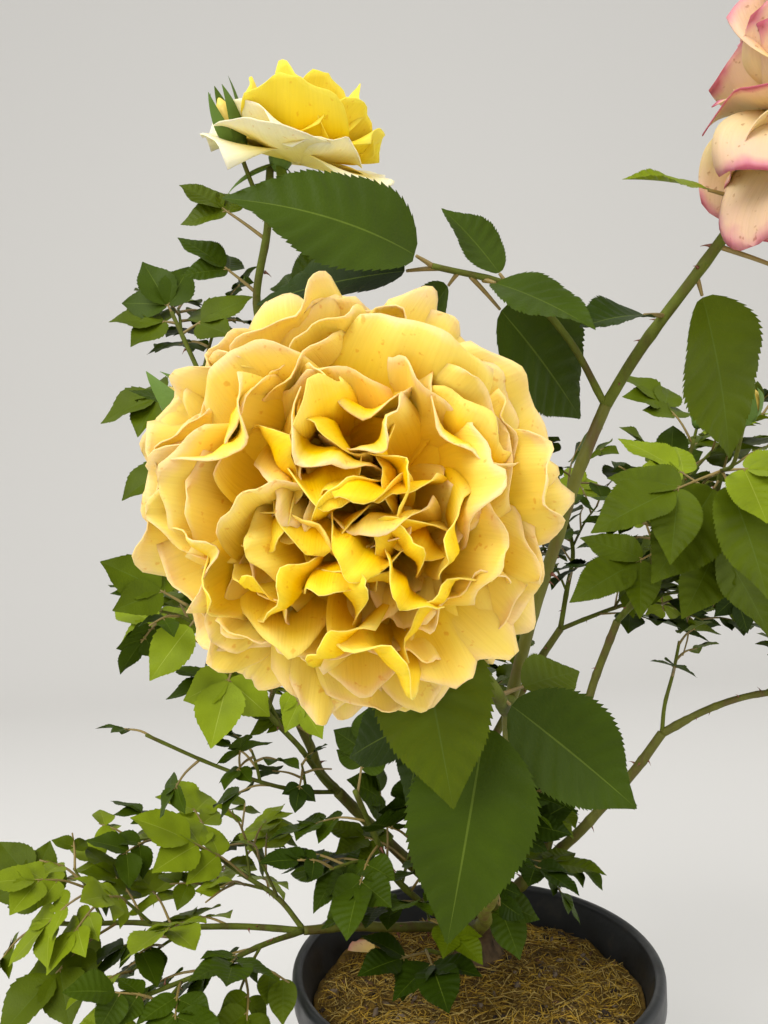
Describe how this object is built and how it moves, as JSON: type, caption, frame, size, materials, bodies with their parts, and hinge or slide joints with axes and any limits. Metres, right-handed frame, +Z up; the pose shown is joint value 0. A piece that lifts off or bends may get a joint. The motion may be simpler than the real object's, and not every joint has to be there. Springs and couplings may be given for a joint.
{
  "type": "potted rose bush",
  "caption": "Bushy garden rose in a round nursery pot, with large frilled double blooms and buds on arching canes, toothed compound leaves and a bed of coir soil.",
  "frame": {"origin": "centre of the pot's flat underside, which stands on the ground", "axes": "+Z up along the pot's axis; the largest bloom leans out over the rim towards -Y and faces that way; +X to the right of someone who looks at its face"},
  "size_m": [0.6261, 0.5324, 0.6525],
  "materials": {
    "pot_plastic": "satin black, a little scuffed",
    "potting_soil": "coarse coir and bark compost, matt",
    "old_wood": "rough brown bark",
    "green_wood": "smooth olive green bark with brown streaks",
    "leaf": "leaf, slightly glossy mid green",
    "young_leaf": "leaf, soft yellow green",
    "yellow_bloom": "petal, soft yellow with cream edges",
    "pink_edged_bloom": "petal, apricot cream with pink edges"
  },
  "bodies": {
    "root": {"back_left_low_shoot": "leaf", "back_left_shoot": "leaf", "back_middle_shoot": "leaf", "back_right_low_shoot": "leaf", "back_right_shoot": "leaf", "cane_back": "green_wood", "cane_back_left": "green_wood", "cane_back_right": "green_wood", "cane_front": "green_wood", "cane_left": "green_wood", "cane_low_left": "green_wood", "cane_low_right": "green_wood", "cane_mid": "green_wood", "cane_outer_right": "green_wood", "cane_pink": "green_wood", "cane_right": "green_wood", "cane_top": "green_wood", "far_right_shoot": "leaf", "front_basal_shoot": "leaf", "graft_union": "old_wood", "inner_front_shoot": "leaf", "left_front_shoot": "leaf", "left_high_shoot": "leaf", "left_mid_shoot": "leaf", "left_thin_shoot": "leaf", "low_left_back_shoot": "young_leaf", "low_left_front_shoot": "young_leaf", "low_left_shoot": "young_leaf", "main_bloom_shoot": "yellow_bloom", "mid_front_shoot": "leaf", "mid_high_shoot": "leaf", "outer_right_shoot": "leaf", "pink_bloom_shoot": "pink_edged_bloom", "pot": "pot_plastic", "right_twig_shoot": "leaf", "soil": "potting_soil", "top_bloom_shoot": "yellow_bloom", "upper_leaf_shoot": "leaf"}
  },
  "joints": []
}
